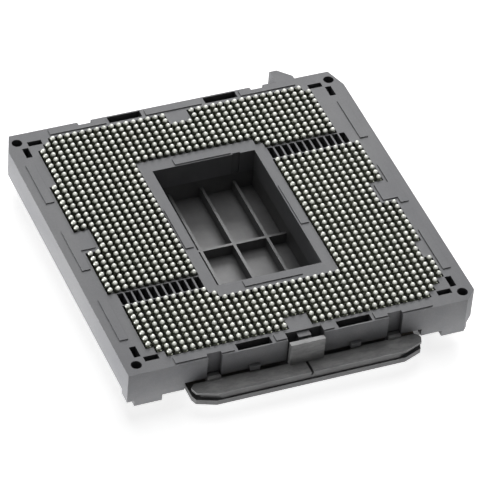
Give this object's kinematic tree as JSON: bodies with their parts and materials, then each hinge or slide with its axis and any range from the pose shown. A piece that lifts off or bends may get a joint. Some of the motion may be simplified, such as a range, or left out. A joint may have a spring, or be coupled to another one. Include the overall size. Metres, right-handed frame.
{
  "type": "land grid processor socket",
  "caption": "Square land grid socket lying solder balls up on its fitted pick-and-place cap, with a central window, banks of stamped contacts and two cap handles.",
  "frame": {"origin": "centre of the bounding box in plan, on the cap's pick-up face that the part lies on", "axes": "+Z out of the solder-ball side, +X along the rows of contacts, +Y from the latch-arm handle to the other handle"},
  "size_m": [0.0424, 0.0472, 0.007],
  "materials": {
    "housing": "fine matte moulded liquid crystal polymer",
    "cap": "satin moulded, charcoal",
    "contacts": "thin gold plating on copper alloy",
    "solder": "satin solder, slightly warm"
  },
  "bodies": {
    "socket": {"housing": "housing", "contacts_back_01": "contacts", "contacts_back_02": "contacts", "contacts_back_03": "contacts", "contacts_back_04": "contacts", "contacts_back_05": "contacts", "contacts_back_06": "contacts", "contacts_back_07": "contacts", "contacts_back_08": "contacts", "contacts_back_09": "contacts", "contacts_back_10": "contacts", "contacts_front_01": "contacts", "contacts_front_02": "contacts", "contacts_front_03": "contacts", "contacts_front_04": "contacts", "contacts_front_05": "contacts", "contacts_front_06": "contacts", "contacts_front_07": "contacts", "contacts_front_08": "contacts", "contacts_front_09": "contacts", "contacts_front_10": "contacts", "balls_back_01": "solder", "balls_back_02": "solder", "balls_back_03": "solder", "balls_back_04": "solder", "balls_back_05": "solder", "balls_back_06": "solder", "balls_back_07": "solder", "balls_back_08": "solder", "balls_back_09": "solder", "balls_back_10": "solder", "balls_front_01": "solder", "balls_front_02": "solder", "balls_front_03": "solder", "balls_front_04": "solder", "balls_front_05": "solder", "balls_front_06": "solder", "balls_front_07": "solder", "balls_front_08": "solder", "balls_front_09": "solder", "balls_front_10": "solder"},
    "cap": {"cap": "cap"}
  },
  "joints": [
    {"name": "cap_lift", "type": "slide", "parent": "socket", "child": "cap", "axis": [0, 0, -1], "range_m": [0, 0.012]}
  ]
}
